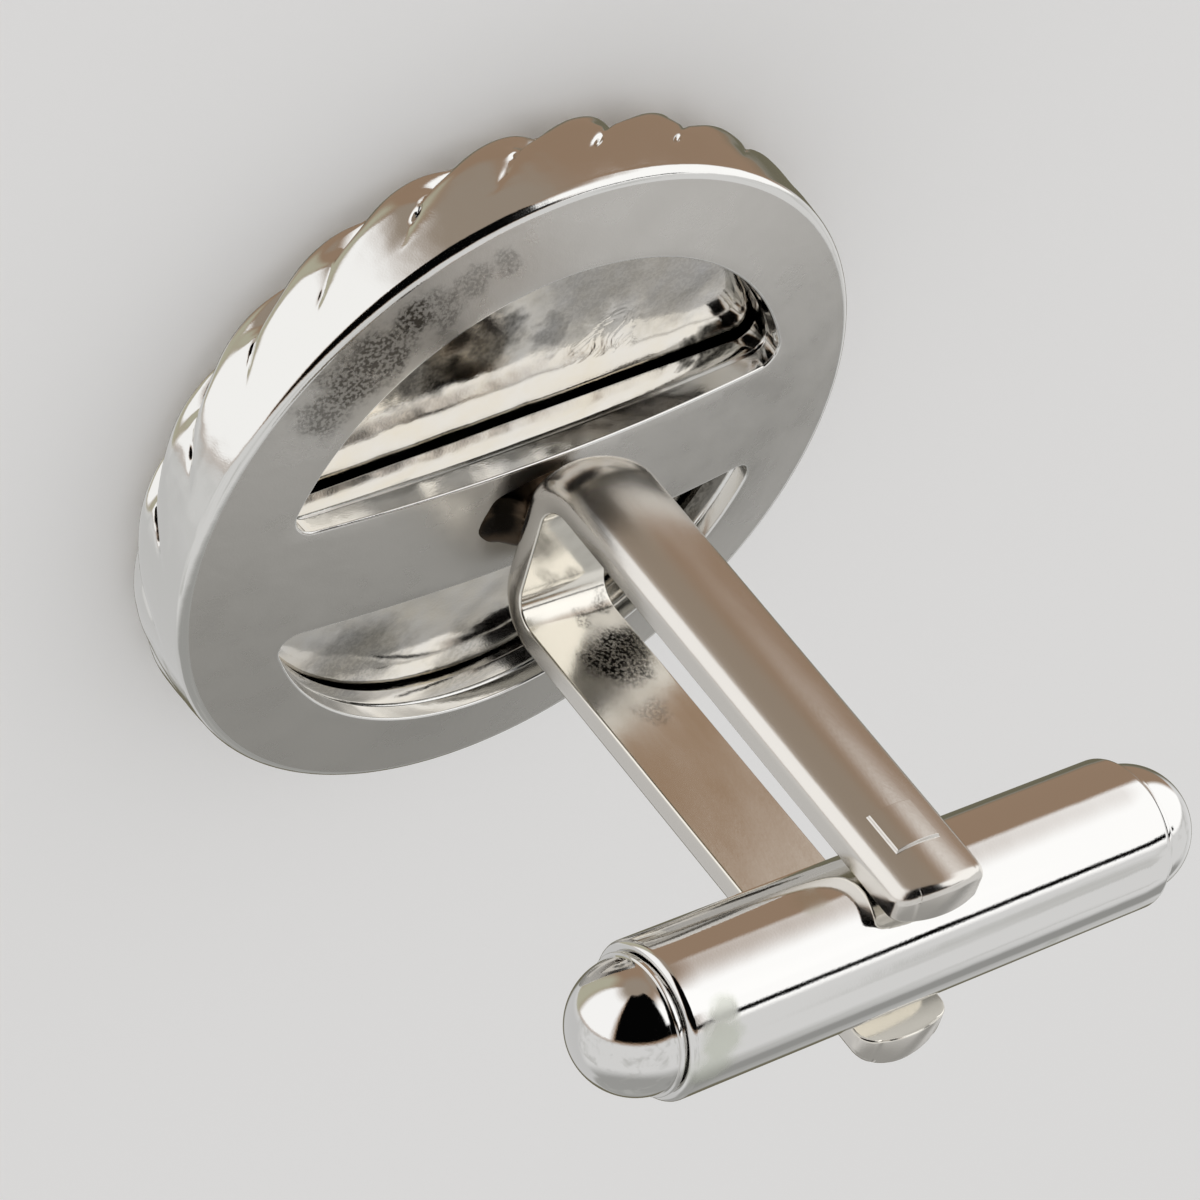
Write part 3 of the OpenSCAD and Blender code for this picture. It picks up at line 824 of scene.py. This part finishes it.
def plunger_mesh(t, side):
    """A click plunger: a head that presses on the lugs, and a stem in its spring."""
    stem_x = t.nose_x + t.plunger_head
    end_x = stem_x + t.stem_len
    nose_round, back_round, fillet, end_round = 0.1, 0.05, 0.04, 0.08
    profile = [(0, t.nose_x)]
    profile += arc(t.plunger_r - nose_round, t.nose_x + nose_round, nose_round, -90, 0, 4)
    profile += arc(t.plunger_r - back_round, stem_x - back_round, back_round, 0, 90, 3)
    profile += [(t.stem_r + fillet, stem_x), (t.stem_r, stem_x + fillet)]
    profile += arc(t.stem_r - end_round, end_x - end_round, end_round, 0, 90, 3) + [(0, end_x)]
    return turned_along_x(profile, side, t.pivot_z, 96).mesh("plunger")


# Materials. A Mix node's colours are its inputs 6 and 7 and its output 2.

def blotch(tree, place, spots, warp):
    """How far a place lies in the spots, 0 to 1: soft spots given by x, y, z, radius (mm) and strength."""
    add = partial(add_node, tree)
    drift = add("ShaderNodeTexNoise", {"Vector": place, "Scale": 1.6, "Detail": 3.0}, 1)
    drift = add("ShaderNodeVectorMath", {0: drift, 1: (0.5, 0.5, 0.5)}, operation="SUBTRACT")
    drift = add("ShaderNodeVectorMath", {0: drift, "Scale": warp}, operation="SCALE")
    moved = add("ShaderNodeVectorMath", {0: place, 1: drift}, operation="ADD")
    total = 0.0
    for x, y, z, radius, strength in spots:
        away = add("ShaderNodeVectorMath", {0: moved, 1: (x, y, z)}, "Value", operation="DISTANCE")
        share = add("ShaderNodeMapRange", {"Value": away, "From Min": radius * 1.35,
                                           "From Max": radius * 0.55, "To Max": strength},
                    interpolation_type="SMOOTHSTEP")
        total = share.maths("MAXIMUM", total)
    return total


def metal(name, colour, rough, spread=0.05, wave=None, grain=None, stretch=(1, 1, 1), stain=None,
          spots=(), tarnish_and_shade="#4A4640", warp=1.2, speckle=0.0, dull=0.0, swirl=None):
    """A plated metal with long waves and fine grain, each given by its depth and size in millimetres.

    In patches, the roughness varies by spread and the colour goes to stain. Spots go to their own colour,
    are broken up and grainier by speckle, and rougher by dull. That colour marks tarnished, smudged and
    burnt places on some pieces, and is painted shadow and a painted dark reflection on parts of the plate
    and on the strap's inner face. A swirl is a wrinkled spot, with its centre, radius and depth. Its places
    are in millimetres, so a noise's scale is its waves in one.
    """
    material = bpy.data.materials.new(name)
    material.use_nodes = True
    tree = material.node_tree
    add = partial(add_node, tree)
    shader = tree.nodes["Principled BSDF"].inputs
    shader["Metallic"].default_value = 1.0
    place = add("ShaderNodeTexCoord", take="Object")
    true = add("ShaderNodeMapping", {"Vector": place, "Scale": (1 / MM, 1 / MM, 1 / MM)})
    scaled = add("ShaderNodeMapping", {"Vector": place, "Scale": [v / MM for v in stretch]})
    patches = add("ShaderNodeTexNoise", {"Vector": scaled, "Scale": 0.7, "Detail": 4.0, "Roughness": 0.6})
    uneven = add("ShaderNodeMapRange", {
        "Value": patches, "From Min": 0.3, "From Max": 0.7, "To Min": max(rough - spread, 0.02),
        "To Max": rough + spread})
    tint = add("ShaderNodeMix", {0: patches, 6: linear(stain or colour), 7: linear(colour)}, 2,
               data_type="RGBA")
    mask = None
    if spots:
        mask = blotch(tree, true, spots, warp)
        uneven = mask.maths("MULTIPLY_ADD", dull, uneven)
        dots = add("ShaderNodeTexNoise", {"Vector": true, "Scale": 10.0, "Detail": 3.0})
        dots = add("ShaderNodeMapRange", {"Value": dots, "From Min": 0.56, "From Max": 0.44,
                                          "To Min": 1 - speckle})
        tint = add("ShaderNodeMix", {0: mask * dots, 6: tint, 7: linear(tarnish_and_shade)}, 2, data_type="RGBA")
    normal = {}
    for relief, detail in ((wave, 1.0), (grain, 3.0)):
        if relief:
            depth, size = relief
            bumps = add("ShaderNodeTexNoise", {"Vector": scaled, "Scale": 1 / size, "Detail": detail})
            if mask and speckle and relief is grain:
                bumps = bumps * mask.maths("MULTIPLY_ADD", 5 * speckle, 1.0)
            normal["Normal"] = add("ShaderNodeBump", {"Height": bumps, "Strength": 1.0,
                                                      "Distance": depth * MM, **normal})
    if swirl:
        centre, radius, depth = swirl
        moved = add("ShaderNodeVectorMath", {0: true, 1: centre}, operation="SUBTRACT")
        rings = add("ShaderNodeTexNoise", {"Vector": moved, "Scale": 0.9, "Detail": 2.0, "Distortion": 2.2})
        rings = rings * blotch(tree, true, ((*centre, radius, 1.0),), 0.6)
        normal["Normal"] = add("ShaderNodeBump", {"Height": rings, "Strength": 1.0, "Distance": depth * MM,
                                                  **normal})
    for key, value in {"Roughness": uneven, "Base Color": tint, **normal}.items():
        tree.links.new(value.socket, shader[key])
    return material


# Marked places, each as x, y, z and radius in millimetres and a strength: worn and tarnished places,
# and, where said below, painted shadow and a painted dark reflection
HANDLED_SPOTS = ((-7.3, 5.2, 3.3, 0.8, 0.7), (-6.8, 6.0, 3.3, 0.9, 0.9), (-6.1, 6.7, 3.3, 0.9, 0.9),
                 (-5.4, 7.5, 3.3, 0.6, 1.0), (-4.7, 7.7, 3.3, 0.7, 0.6), (-3.8, 8.3, 3.3, 0.5, 0.45),
                 (-2.9, 8.7, 3.3, 0.4, 0.45), (1.9, -1.0, 3.9, 0.9, 0.3), (-3.4, -3.2, 3.8, 1.0, 0.3))
# On the plate, the last three spots, along the crossbar's wall at the right, are painted shadow and painted
# dark reflection in the gap between the plate and that wall
PLATE_SPOTS_AND_GAP_SHADE = ((-3.6, 4.3, 2.1, 1.0, 0.85), (-1.7, 4.9, 2.1, 1.0, 0.85), (0.2, 4.6, 2.1, 0.7, 0.6),
               (-2.6, 5.6, 2.1, 1.2, 0.7), (1.5, 6.2, 2.1, 1.9, 0.5), (4.2, 5.6, 2.1, 1.9, 0.45),
               (-3.6, -6.0, 2.1, 1.6, 0.6), (0.6, -7.0, 2.1, 1.2, 0.5), (6.6, -3.4, 2.1, 1.6, 0.9),
               (4.4, 2.1, 2.1, 0.35, 1.0), (5.2, 2.3, 2.1, 0.5, 1.0), (6.0, 2.6, 2.1, 0.7, 1.0))
SMUDGES = ((-6.6, 0.9, 20.8, 0.55, 1.0), (-6.8, 0.3, 21.0, 0.6, 0.9), (-6.4, 1.4, 20.4, 0.4, 0.8),
           (-2.9, 1.95, 18.9, 0.45, 0.5), (3.8, -0.4, 21.0, 0.25, 0.5))
BURNT_SPOTS = ((-1.65, 0.0, 4.0, 0.4, 1.0), (-1.4, 0.1, 4.0, 0.5, 1.0), (-1.5, 0.6, 4.0, 0.42, 1.0),
               (-1.4, 1.0, 4.0, 0.35, 1.0))
# Painted dark reflection on the back leg's inner face near its bend, facing the front leg, broken into
# black speckles
INNER_PAINTED_REFLECTION = ((0.6, -2.0, 7.4, 0.75, 1.0), (0.0, -2.0, 7.7, 0.7, 1.0), (0.5, -2.0, 8.1, 0.6, 0.8),
               (0.3, -2.0, 6.2, 0.3, 0.5), (1.0, -2.0, 5.9, 0.35, 0.6), (0.1, -2.0, 9.6, 0.5, 0.3))


# Operators

class CUFF_OT_head(bpy.types.Operator):
    """Makes the cast head with its rope rim and two windows"""
    bl_idname = "cuff.head"
    bl_label = "Head"

    def execute(self, context):
        colours = context.scene.cuff_finishes
        h, rope, _, _ = sizes(context.scene)
        # Zinc casting, polished and nickel plated: mirror-like, with soft waves left by the buffing
        polished = metal("polished_nickel_on_cast_zinc", colours.cast, 0.09, spread=0.04,
                         wave=(0.012, 0.7), grain=(0.0012, 0.05))
        # The back face is only tumbled before plating, so it is satin and speckled
        satin = metal("satin_nickel_on_cast_zinc", colours.satin, 0.3, spread=0.06, wave=(0.004, 0.4),
                      grain=(0.0022, 0.06), spots=HANDLED_SPOTS, tarnish_and_shade="#55514B", speckle=0.6)
        piece = put_in_scene(head_mesh(h, rope), "cast_head")
        finish = face_finishes(piece.data)
        pitch = 2 * math.pi * rope.wide_r / rope.strands
        baked(piece, rope_tree(), {
            "Strands": float(rope.strands), "Groove": rope.groove * MM, "Phase": rope.phase,
            "Lead": math.tan(rope.slant) / pitch, "Floor": h.land_r * MM, "Pitch": pitch, "Wander": 0.016,
            "Unevenness": 0.04 * MM, "Pit depth": 0.13 * MM, "Pit width": 0.11, "Pit length": 0.15,
            "Seed": 3.0, "Metal": polished})
        piece.data.name = "cast_head"
        dress(piece, "head", "head_and_post", [polished, satin], finish=finish)
        return {"FINISHED"}


class CUFF_OT_plate(bpy.types.Operator):
    """Makes the polished front plate"""
    bl_idname = "cuff.plate"
    bl_label = "Front plate"

    def execute(self, context):
        colours = context.scene.cuff_finishes
        low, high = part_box("front_plate")
        # Rolled brass sheet, nickel plated: a true mirror with faint wrinkles from the stamping
        # Its spots along the crossbar's wall are painted shadow and painted dark reflection
        mirror = metal("mirror_nickel_on_rolled_brass", colours.plate, 0.07, spread=0.04,
                       wave=(0.03, 1.4), grain=(0.001, 0.08), stain=colours.plate_warm,
                       spots=PLATE_SPOTS_AND_GAP_SHADE, tarnish_and_shade="#403E39", warp=1.6, speckle=0.15,
                       swirl=((2.0, 3.9, 2.15), 1.0, 0.035))
        r, front, back = high.x / MM, low.z / MM, high.z / MM
        bevel, burr, middle = 0.3, 0.03, 1e-4
        profile = [(middle, front), (r * 0.5, front), (r - bevel, front), (r, front + bevel),
                   (r, back - burr), (r - burr, back)]
        profile += [(a, back) for a in span(0, r, 30)[-2:0:-1]] + [(middle, back)]
        shell = Shell()
        shell.strip([shell.row(ring(a, z, 192)) for a, z in profile])
        piece = put_in_scene(shell.mesh("front_plate"), "polished_plate")
        dress(piece, "front_plate", "head_and_post", [mirror])
        return {"FINISHED"}


class CUFF_OT_strap(bpy.types.Operator):
    """Makes the bent strap post with its lugs"""
    bl_idname = "cuff.strap"
    bl_label = "Strap post"

    def execute(self, context):
        colours = context.scene.cuff_finishes
        _, _, s, t = sizes(context.scene)
        # Steel strap, stamped, tumbled and nickel plated: satin outside, brighter inside
        outside = metal("tumbled_nickel_on_steel", colours.strap, 0.19, spread=0.04, wave=(0.005, 0.8),
                        grain=(0.0012, 0.05), stretch=(1, 1, 0.3))
        # Its inner face carries a painted dark reflection on the back leg near its bend, speckled black
        inner = metal("bright_nickel_on_steel", colours.strap_in, 0.14, wave=(0.008, 0.7),
                      grain=(0.001, 0.05), stretch=(1, 1, 0.3), spots=INNER_PAINTED_REFLECTION, tarnish_and_shade="#1E1B18",
                      warp=0.9, speckle=0.6)
        shell = strap_mesh(s)
        half = s.lug_side / 2
        for side in (-1, 1):
            ends = sorted((side * (s.gap / 2 - s.lug_len), side * (s.gap / 2 + s.side_t / 2)))
            add_box(shell, (-half, ends[0], t.pivot_z - half), (half, ends[1], t.pivot_z + half),
                    chamfer=0.05)
        piece = put_in_scene(shell.mesh("strap"), "strap_post")
        dress(piece, "post", "head_and_post", [outside, inner])
        return {"FINISHED"}


class CUFF_OT_solder(bpy.types.Operator):
    """Makes the solder that holds the strap on the crossbar"""
    bl_idname = "cuff.solder"
    bl_label = "Solder"

    def execute(self, context):
        h, _, s, _ = sizes(context.scene)
        # Tin solder, wiped while hot: dull and lumpy, its rim brown with flux
        tin = metal("wiped_tin_solder", context.scene.cuff_finishes.solder, 0.3, spread=0.1,
                    wave=(0.03, 0.5), grain=(0.006, 0.08), spots=BURNT_SPOTS, tarnish_and_shade="#17130E", warp=0.3)
        piece = put_in_scene(puddle_mesh(h, s), "solder_puddle")
        piece.data.transform(Matrix.Rotation(h.bar_turn, 4, "Z"))
        dress(piece, "solder", "head_and_post", [tin], crease=60)
        return {"FINISHED"}


class CUFF_OT_toggle(bpy.types.Operator):
    """Makes the toggle's tube and its two domed caps"""
    bl_idname = "cuff.toggle"
    bl_label = "Toggle"

    def execute(self, context):
        t = sizes(context.scene)[-1]
        # Drawn brass tube and turned caps under bright nickel: nearly a clean mirror
        bright = metal("bright_nickel_on_brass", context.scene.cuff_finishes.toggle, 0.05, spread=0.025,
                       wave=(0.004, 0.9), grain=(0.0006, 0.05), spots=SMUDGES, tarnish_and_shade="#DADCD2",
                       warp=0.7, dull=0.3)
        tube = put_in_scene(tube_mesh(t), "toggle_barrel")
        dress(tube, "toggle_tube", "toggle", [bright])
        for side, name in ((-1, "left"), (1, "right")):
            cap = put_in_scene(cap_mesh(t, side), name + "_domed_cap")
            dress(cap, name + "_cap", "toggle", [bright], crease=35)
        return {"FINISHED"}


class CUFF_OT_click(bpy.types.Operator):
    """Makes the hidden click plungers and their springs"""
    bl_idname = "cuff.click"
    bl_label = "Click parts"

    def execute(self, context):
        t = sizes(context.scene)[-1]
        # Hardened steel, ground and oiled: grey and satin
        steel = metal("oiled_spring_steel", context.scene.cuff_finishes.steel, 0.28, grain=(0.001, 0.04))
        tree = spring_tree()
        clear = t.wire_d / 2 + t.wire_d / 15
        back, fixed = t.nose_x + t.plunger_head, t.half - t.plug_len
        start, end = back + clear, fixed - clear
        for side, name in ((-1, "left"), (1, "right")):
            plunger = put_in_scene(plunger_mesh(t, side), name + "_click_plunger")
            dress(plunger, name + "_plunger", name + "_plunger", [steel])
            spring = put_in_scene(bpy.data.meshes.new("spring"), name + "_click_spring")
            baked(spring, tree, {
                "Curls": float(t.curls), "Coil radius": t.coil_r * MM, "Run": (end - start) * MM,
                "Wire radius": t.wire_d / 2 * MM, "Turn": side * math.pi / 2,
                "Place": (side * start * MM, 0, t.pivot_z * MM), "Metal": steel})
            dress(spring, name + "_spring", "toggle", [steel], crease=60)
            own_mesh(spring)
        return {"FINISHED"}


# The studio round the table that the cufflink lay on, in degrees. Azimuth 0 is towards the camera, and
# elevation 0 is level with the table. Each layer lies over those before it. It has a name, two azimuths,
# two elevations, how soft its sides, its lower and its upper edge are, a colour and a strength.
STUDIO = (
    ("brown wood above the table", -200, 200, 0, 200, 1, 3, 1, "#9C846F", 1.0),
    ("darker wood overhead", -200, 200, 68, 200, 1, 9, 1, "#9E9183", 1.0),
    ("shade on the table", 102, 128, -66, -38, 5, 2.5, 5, "#9A9A98", 1.0),
    # Painted shade: the left side of the table is greyer, which darkens the rim's lower-left wall in its
    # reflection
    ("painted shade on the left of the table", -172, -91, -62, -5, 9, 2.5, 6, "#CECECE", 1.0),
    ("olive wall", -142, -108, -2, 58, 12, 2.5, 12, "#B9B6A2", 1.0),
    ("left softbox", -107, -36, 2, 67, 6, 2.5, 11, "#FFFFFF", 1.1),
    ("room behind the camera", -31, 60, 3.5, 78, 2.5, 2.5, 2.5, "#050505", 1.0),
    ("right softbox", 61, 140, -2, 55, 5, 2.5, 13, "#FFFFFF", 1.2),
    ("table's dark edge", 58, 87, 2.5, 7.5, 1.2, 1.2, 1.2, "#050505", 1.0),
    ("right softbox's wing", 54, 75, 20, 52, 3, 2.5, 10, "#FFFFFF", 1.22),
    # Azimuths end at 180, so what lies across that line is in two halves
    ("far side of the table, left", -190, -154, -60, 2, 6, 2.5, 6, "#6F6B5A", 1.0),
    ("far side of the table, right", 154, 190, -60, 2, 6, 2.5, 6, "#6F6B5A", 1.0),
)
SURROUND_M = 0.5
# The camera, fitted to the photo's outlines: its place in millimetres and its own axes
CAMERA_PLACE = Vector((-54.2356, 68.6181, 58.6738))
CAMERA_RIGHT = Vector((0.805543, 0.218055, 0.550956))
CAMERA_UP = Vector((0.262756, 0.701950, -0.661986))
CAMERA_BACK = CAMERA_RIGHT.cross(CAMERA_UP)
LENS_MM, SENSOR_MM = 120, 36
# The table's own axes in the part's frame: up leans from the part's Y, and front is towards the camera
TABLE_LEAN = math.radians(19.8852)
TABLE_UP = Vector((0, math.cos(TABLE_LEAN), -math.sin(TABLE_LEAN)))
TABLE_FRONT = (CAMERA_BACK - CAMERA_BACK.project(TABLE_UP)).normalized()
TABLE_RIGHT = TABLE_UP.cross(TABLE_FRONT)


def plain_tree(name):
    """A material without nodes, and a function that adds one to it."""
    material = bpy.data.materials.new(name)
    material.use_nodes = True
    material.node_tree.nodes.clear()
    return material, partial(add_node, material.node_tree)


def surround_glow():
    """Glow of the studio's surround: a pale veined table below, and soft-edged layers over it."""
    material, add = plain_tree("studio_surround")
    place = add("ShaderNodeTexCoord", take="Object")
    way = add("ShaderNodeVectorMath", {0: place}, operation="NORMALIZE")
    up, front, right = [add("ShaderNodeVectorMath", {0: way, 1: axis}, "Value", operation="DOT_PRODUCT")
                        for axis in (TABLE_UP, TABLE_FRONT, TABLE_RIGHT)]
    height = up.maths("MAXIMUM", -1.0).maths("MINIMUM", 1.0).maths("ARCSINE").maths("DEGREES")
    turn = right.maths("ARCTAN2", front).maths("DEGREES")
    # The table is greyer close under the cufflink, and its marble has faint grey veins
    veins = add("ShaderNodeTexNoise", {"Vector": way, "Scale": 3.5, "Detail": 4.0, "Distortion": 0.6})
    colour = linear("#A3A3A1")
    for value, low, high, most, tone in ((height, -62, -42, 1.0, "#E2E2E2"),
                                         (veins, 0.5, 0.7, 0.6, "#B9B9B6")):
        share = add("ShaderNodeMapRange", {"Value": value, "From Min": low, "From Max": high,
                                           "To Max": most}, interpolation_type="SMOOTHSTEP")
        colour = add("ShaderNodeMix", {0: share, 6: colour, 7: linear(tone)}, 2, data_type="RGBA")
    for _, left, right, low, high, side, lower, upper, tone, strength in STUDIO:
        a, b, c, d = [add("ShaderNodeMapRange", {"Value": value, "From Min": nought, "From Max": full},
                          interpolation_type="SMOOTHSTEP")
                      for value, nought, full in ((turn, left - side, left + side),
                                                  (turn, right + side, right - side),
                                                  (height, low - lower, low + lower),
                                                  (height, high + upper, high - upper))]
        glow = [v * strength for v in linear(tone)[:3]] + [1.0]
        colour = add("ShaderNodeMix", {0: a * b * c * d, 6: colour, 7: glow}, 2, data_type="RGBA")
    glow = add("ShaderNodeEmission", {"Color": colour, "Strength": 1.0})
    add("ShaderNodeOutputMaterial", {"Surface": glow}, None)
    return material


def matt_paper(colour):
    """Matt pale paper: it gives the eye a plain ground with a soft shadow."""
    material, add = plain_tree("matt_paper")
    matt = add("ShaderNodeBsdfDiffuse", {"Color": linear(colour)})
    add("ShaderNodeOutputMaterial", {"Surface": matt}, None)
    return material


class CUFF_OT_stage(bpy.types.Operator):
    """Makes the floor, the studio light and the camera"""
    bl_idname = "cuff.stage"
    bl_label = "Stage"

    def execute(self, context):
        scene = context.scene
        mesh = bpy.data.meshes.new("floor")
        mesh.from_pydata([(-1, -1, 0), (1, -1, 0), (1, 1, 0), (-1, 1, 0)], [], [(0, 1, 2, 3)])
        mesh.materials.append(matt_paper(scene.cuff_finishes.floor))
        floor = put_in_scene(mesh, "floor")
        floor.visible_glossy = False
        # The surround shows only in the metal; the plain world lights the floor
        ball = bmesh.new()
        bmesh.ops.create_uvsphere(ball, u_segments=64, v_segments=32, radius=SURROUND_M)
        mesh = bpy.data.meshes.new("studio_surround")
        ball.to_mesh(mesh)
        ball.free()
        mesh.materials.append(surround_glow())
        mesh.materials[0].cycles.emission_sampling = "NONE"
        surround = put_in_scene(mesh, "studio_surround")
        surround.visible_camera = False
        surround.visible_diffuse = False
        surround.visible_shadow = False
        scene.world = bpy.data.worlds.new("studio")
        scene.world.use_nodes = True
        ground = scene.world.node_tree.nodes["Background"].inputs
        ground["Color"].default_value = linear(scene.cuff_finishes.room)
        scene.view_settings.view_transform = "Standard"
        data = bpy.data.cameras.new("camera")
        data.lens, data.sensor_width = LENS_MM, SENSOR_MM
        data.clip_start, data.clip_end = 0.01, 10
        camera = put_in_scene(data, "camera")
        turn = Matrix((CAMERA_RIGHT, CAMERA_UP, CAMERA_BACK)).transposed().to_4x4()
        camera.matrix_world = Matrix.Translation(CAMERA_PLACE * MM) @ turn
        scene.camera = camera
        return {"FINISHED"}


class CUFF_PT_panel(bpy.types.Panel):
    """Lists the cufflink's pieces in the sidebar"""
    bl_idname = "CUFF_PT_panel"
    bl_label = "Cufflink"
    bl_space_type = "VIEW_3D"
    bl_region_type = "UI"
    bl_category = "Cufflink"

    def draw(self, context):
        for step in STEPS:
            self.layout.operator(step.bl_idname)
        for key in GROUPS:
            box = self.layout.box()
            group = getattr(context.scene, key)
            for name in group.__annotations__:
                box.prop(group, name)


STEPS = (CUFF_OT_head, CUFF_OT_plate, CUFF_OT_solder, CUFF_OT_strap, CUFF_OT_toggle, CUFF_OT_click,
         CUFF_OT_stage)
GROUPS = {"cuff_head": HeadSizes, "cuff_rope": RopeSizes, "cuff_strap": StrapSizes,
          "cuff_toggle": ToggleSizes, "cuff_finishes": Finishes}


def register():
    for kind in (*GROUPS.values(), *STEPS, CUFF_PT_panel):
        bpy.utils.register_class(kind)
    for key, kind in GROUPS.items():
        setattr(bpy.types.Scene, key, PointerProperty(type=kind))


def unregister():
    for key in GROUPS:
        delattr(bpy.types.Scene, key)
    for kind in (CUFF_PT_panel, *STEPS[::-1], *list(GROUPS.values())[::-1]):
        bpy.utils.unregister_class(kind)


def main():
    register()
    for step in STEPS:
        group, name = step.bl_idname.split(".")
        getattr(getattr(bpy.ops, group), name)()


if __name__ == "__main__":
    main()
